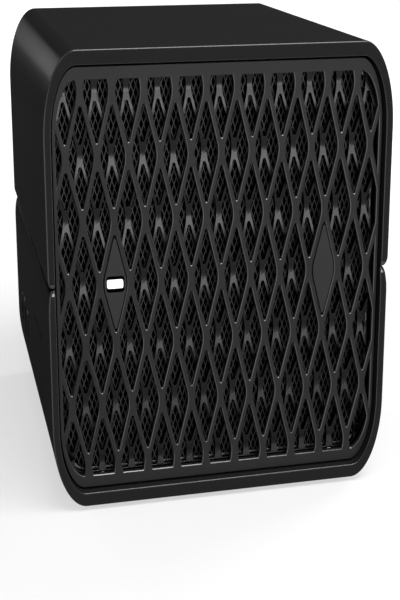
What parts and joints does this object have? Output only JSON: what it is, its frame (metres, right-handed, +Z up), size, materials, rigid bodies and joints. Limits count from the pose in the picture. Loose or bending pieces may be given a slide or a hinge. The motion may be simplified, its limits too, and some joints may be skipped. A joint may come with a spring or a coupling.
{
  "type": "desktop workstation",
  "caption": "Compact upright desktop workstation: a sleeve parted by a groove, with a layered diamond intake lattice, a lit power button, side and rear sockets and a cover that slides off.",
  "frame": {"origin": "on the floor, under the middle of the casing", "axes": "+Z up, the front faces -Y, +X to the right as seen from the front"},
  "size_m": [0.148, 0.165, 0.2],
  "materials": {
    "upper_casing": "fine satin texture",
    "lower_casing": "fine satin texture",
    "lattice_plastic": "satin moulded",
    "mesh_paint": "black powder coat",
    "plate_finish": "satin anodised",
    "button_plastic": "satin moulded",
    "light_plastic": "lit white diffuser",
    "rubber": "matt",
    "sheet_steel": "zinc plated",
    "rear_paint": "black powder coat",
    "black_plastic": "moulded",
    "pale_plastic": "moulded",
    "circuit_board": "solder mask",
    "wrapped_lead": "sheathed",
    "copper": "bare copper",
    "aluminium": "rolled sheet",
    "chip_metal": "plated lid",
    "socket_steel": "nickel plated",
    "screw_steel": "zinc plated",
    "brass": "turned"
  },
  "bodies": {
    "chassis": {"lower_shell": "lower_casing", "rubber_feet": "rubber", "chassis_frame": "sheet_steel", "chassis_screws": "screw_steel", "rear_panel": "rear_paint", "front_grille": "lattice_plastic", "inner_lattice": "lattice_plastic", "dust_mesh": "mesh_paint", "grille_screws": "screw_steel", "blank_plate": "plate_finish", "button_guide": "black_plastic", "button_board": "circuit_board", "push_switch": "black_plastic", "guide_screws": "screw_steel", "button_lead": "wrapped_lead", "fan_frame_lower": "black_plastic", "fan_frame_upper": "black_plastic", "fan_screws": "screw_steel", "main_board": "circuit_board", "board_standoffs": "brass", "board_screws": "screw_steel", "processor": "chip_metal", "cold_plate": "copper", "heat_pipes": "copper", "heat_fins": "aluminium", "cold_plate_screws": "screw_steel", "memory_socket_bars": "black_plastic", "memory_modules": "circuit_board", "storage_card": "circuit_board", "wireless_card": "chip_metal", "clock_battery": "chip_metal", "supply_case": "sheet_steel", "supply_board": "circuit_board", "supply_cable": "wrapped_lead", "cable_plug": "pale_plastic", "mains_inlet": "black_plastic", "inlet_blades": "socket_steel", "rear_serial_sockets": "socket_steel", "rear_serial_tongues": "black_plastic", "network_socket": "socket_steel", "display_sockets": "socket_steel", "display_tongues": "black_plastic", "side_port_board": "circuit_board", "side_board_screws": "screw_steel", "audio_jack": "black_plastic", "side_serial_socket": "socket_steel", "side_small_socket": "socket_steel", "side_tongues": "black_plastic"},
    "cover": {"upper_shell": "upper_casing"},
    "button": {"power_button": "button_plastic", "light_bar": "light_plastic", "switch_plunger": "pale_plastic"},
    "lower_rotor": {"fan_rotor_lower": "black_plastic"},
    "upper_rotor": {"fan_rotor_upper": "black_plastic"},
    "left_screw": {"thumb_screw_left": "screw_steel"},
    "right_screw": {"thumb_screw_right": "screw_steel"}
  },
  "joints": [
    {"name": "cover_slide", "type": "slide", "parent": "chassis", "child": "cover", "axis": [0, 1, 0], "range_m": [0, 0.17]},
    {"name": "power_press", "type": "slide", "parent": "chassis", "child": "button", "axis": [0, 1, 0], "range_m": [0, 0.0008], "stiffness_N_per_m": 1500},
    {"name": "fan_lower_spin", "type": "hinge", "parent": "chassis", "child": "lower_rotor", "pos_m": [0, -0.06, 0.0605], "axis": [0, 1, 0], "continuous": true},
    {"name": "fan_upper_spin", "type": "hinge", "parent": "chassis", "child": "upper_rotor", "pos_m": [0, -0.06, 0.1415], "axis": [0, 1, 0], "continuous": true},
    {"name": "left_screw_turn", "type": "hinge", "parent": "cover", "child": "left_screw", "pos_m": [-0.036, 0.078, 0.1864], "axis": [0, 1, 0], "continuous": true},
    {"name": "right_screw_turn", "type": "hinge", "parent": "cover", "child": "right_screw", "pos_m": [0.036, 0.078, 0.1864], "axis": [0, 1, 0], "continuous": true}
  ]
}
